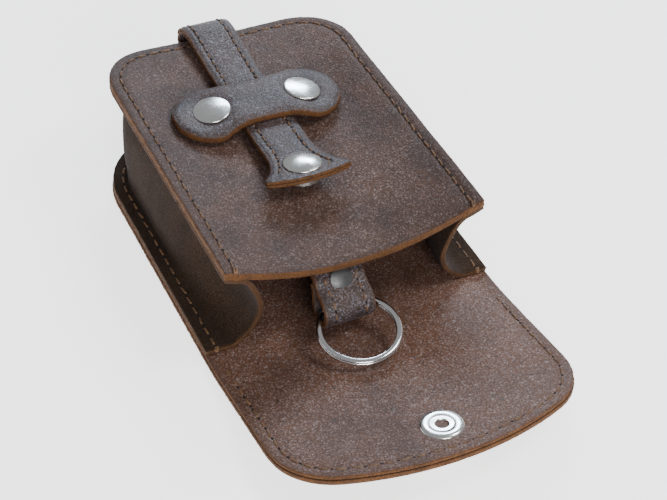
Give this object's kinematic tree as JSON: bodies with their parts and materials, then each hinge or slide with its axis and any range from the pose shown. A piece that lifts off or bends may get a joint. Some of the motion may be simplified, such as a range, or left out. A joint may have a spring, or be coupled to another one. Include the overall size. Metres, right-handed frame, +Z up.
{
  "type": "leather key case",
  "caption": "Sewn leather key case: open pouch with snap flap, riveted keeper, flared pull strap that draws a split key ring inside.",
  "frame": {"origin": "on the underside of the back, on the centre line, where the mouth of the pouch begins", "axes": "+Y from the mouth to the closed end, +Z up through the front panel, -Y along the open flap"},
  "size_m": [0.095, 0.1845, 0.0377],
  "materials": {
    "leather": "waxed pull-up leather, matt with a pale bloom",
    "lining_leather": "waxed leather, grain side in",
    "gusset_leather": "thin dark leather",
    "strap_lining_leather": "brown leather, raw cut edges",
    "thread": "waxed polyester thread",
    "steel": "bright nickel-plated steel"
  },
  "bodies": {
    "case": {"front_panel": "leather", "gusset": "gusset_leather", "back_leather": "leather", "back_lining": "lining_leather", "front_seam": "thread", "back_seam": "thread", "keeper": "leather", "keeper_rivets": "steel", "rivet_backs": "steel", "strap_bend_face": "leather", "strap_bend_lining": "strap_lining_leather"},
    "strap": {"strap_face": "leather", "strap_lining": "strap_lining_leather", "strap_seams": "thread", "snap_cap": "steel", "snap_socket": "steel"},
    "inner_strap": {"inner_strap_face": "leather", "inner_strap_lining": "strap_lining_leather"},
    "loop": {"loop_face": "leather", "loop_lining": "strap_lining_leather", "loop_rivet": "steel"},
    "ring": {"split_ring": "steel"},
    "flap_mid": {"flap_mid_leather": "leather", "flap_mid_lining": "lining_leather", "flap_mid_seam": "thread"},
    "flap_tip": {"flap_tip_leather": "leather", "flap_tip_lining": "lining_leather", "flap_tip_seam": "thread", "snap_stud": "steel", "snap_eyelet": "steel"}
  },
  "joints": [
    {"name": "flap_fold", "type": "hinge", "parent": "case", "child": "flap_mid", "pos_m": [0, -0.005, 0.0015], "axis": [-1, 0, 0], "range_deg": [0, 82]},
    {"name": "flap_tip_fold", "type": "hinge", "parent": "flap_mid", "child": "flap_tip", "pos_m": [0, -0.04461, 0.00707], "axis": [-1, 0, 0], "range_deg": [0, 82.5]},
    {"name": "strap_slide", "type": "slide", "parent": "case", "child": "strap", "axis": [0, -1, 0], "range_m": [0, 0.0302]},
    {"name": "inner_strap_slide", "type": "slide", "parent": "case", "child": "inner_strap", "axis": [0, 1, 0], "range_m": [0, 0.0302]},
    {"name": "loop_flex", "type": "hinge", "parent": "inner_strap", "child": "loop", "pos_m": [-0.0046, 0.0025, 0.0194], "axis": [-1, 0, 0], "range_deg": [0, 25]},
    {"name": "ring_turn", "type": "hinge", "parent": "loop", "child": "ring", "pos_m": [-0.0046, -0.013, 0.01025], "axis": [-0.0523, -0.0957, 0.994], "continuous": true}
  ],
  "couplings": [
    {"joint": "flap_tip_fold", "follows": "flap_fold", "ratio": 1},
    {"joint": "strap_slide", "follows": "flap_fold", "m_per_rad": 0.02096},
    {"joint": "inner_strap_slide", "follows": "flap_fold", "m_per_rad": 0.02096},
    {"joint": "loop_flex", "follows": "flap_fold", "ratio": 0.3}
  ]
}
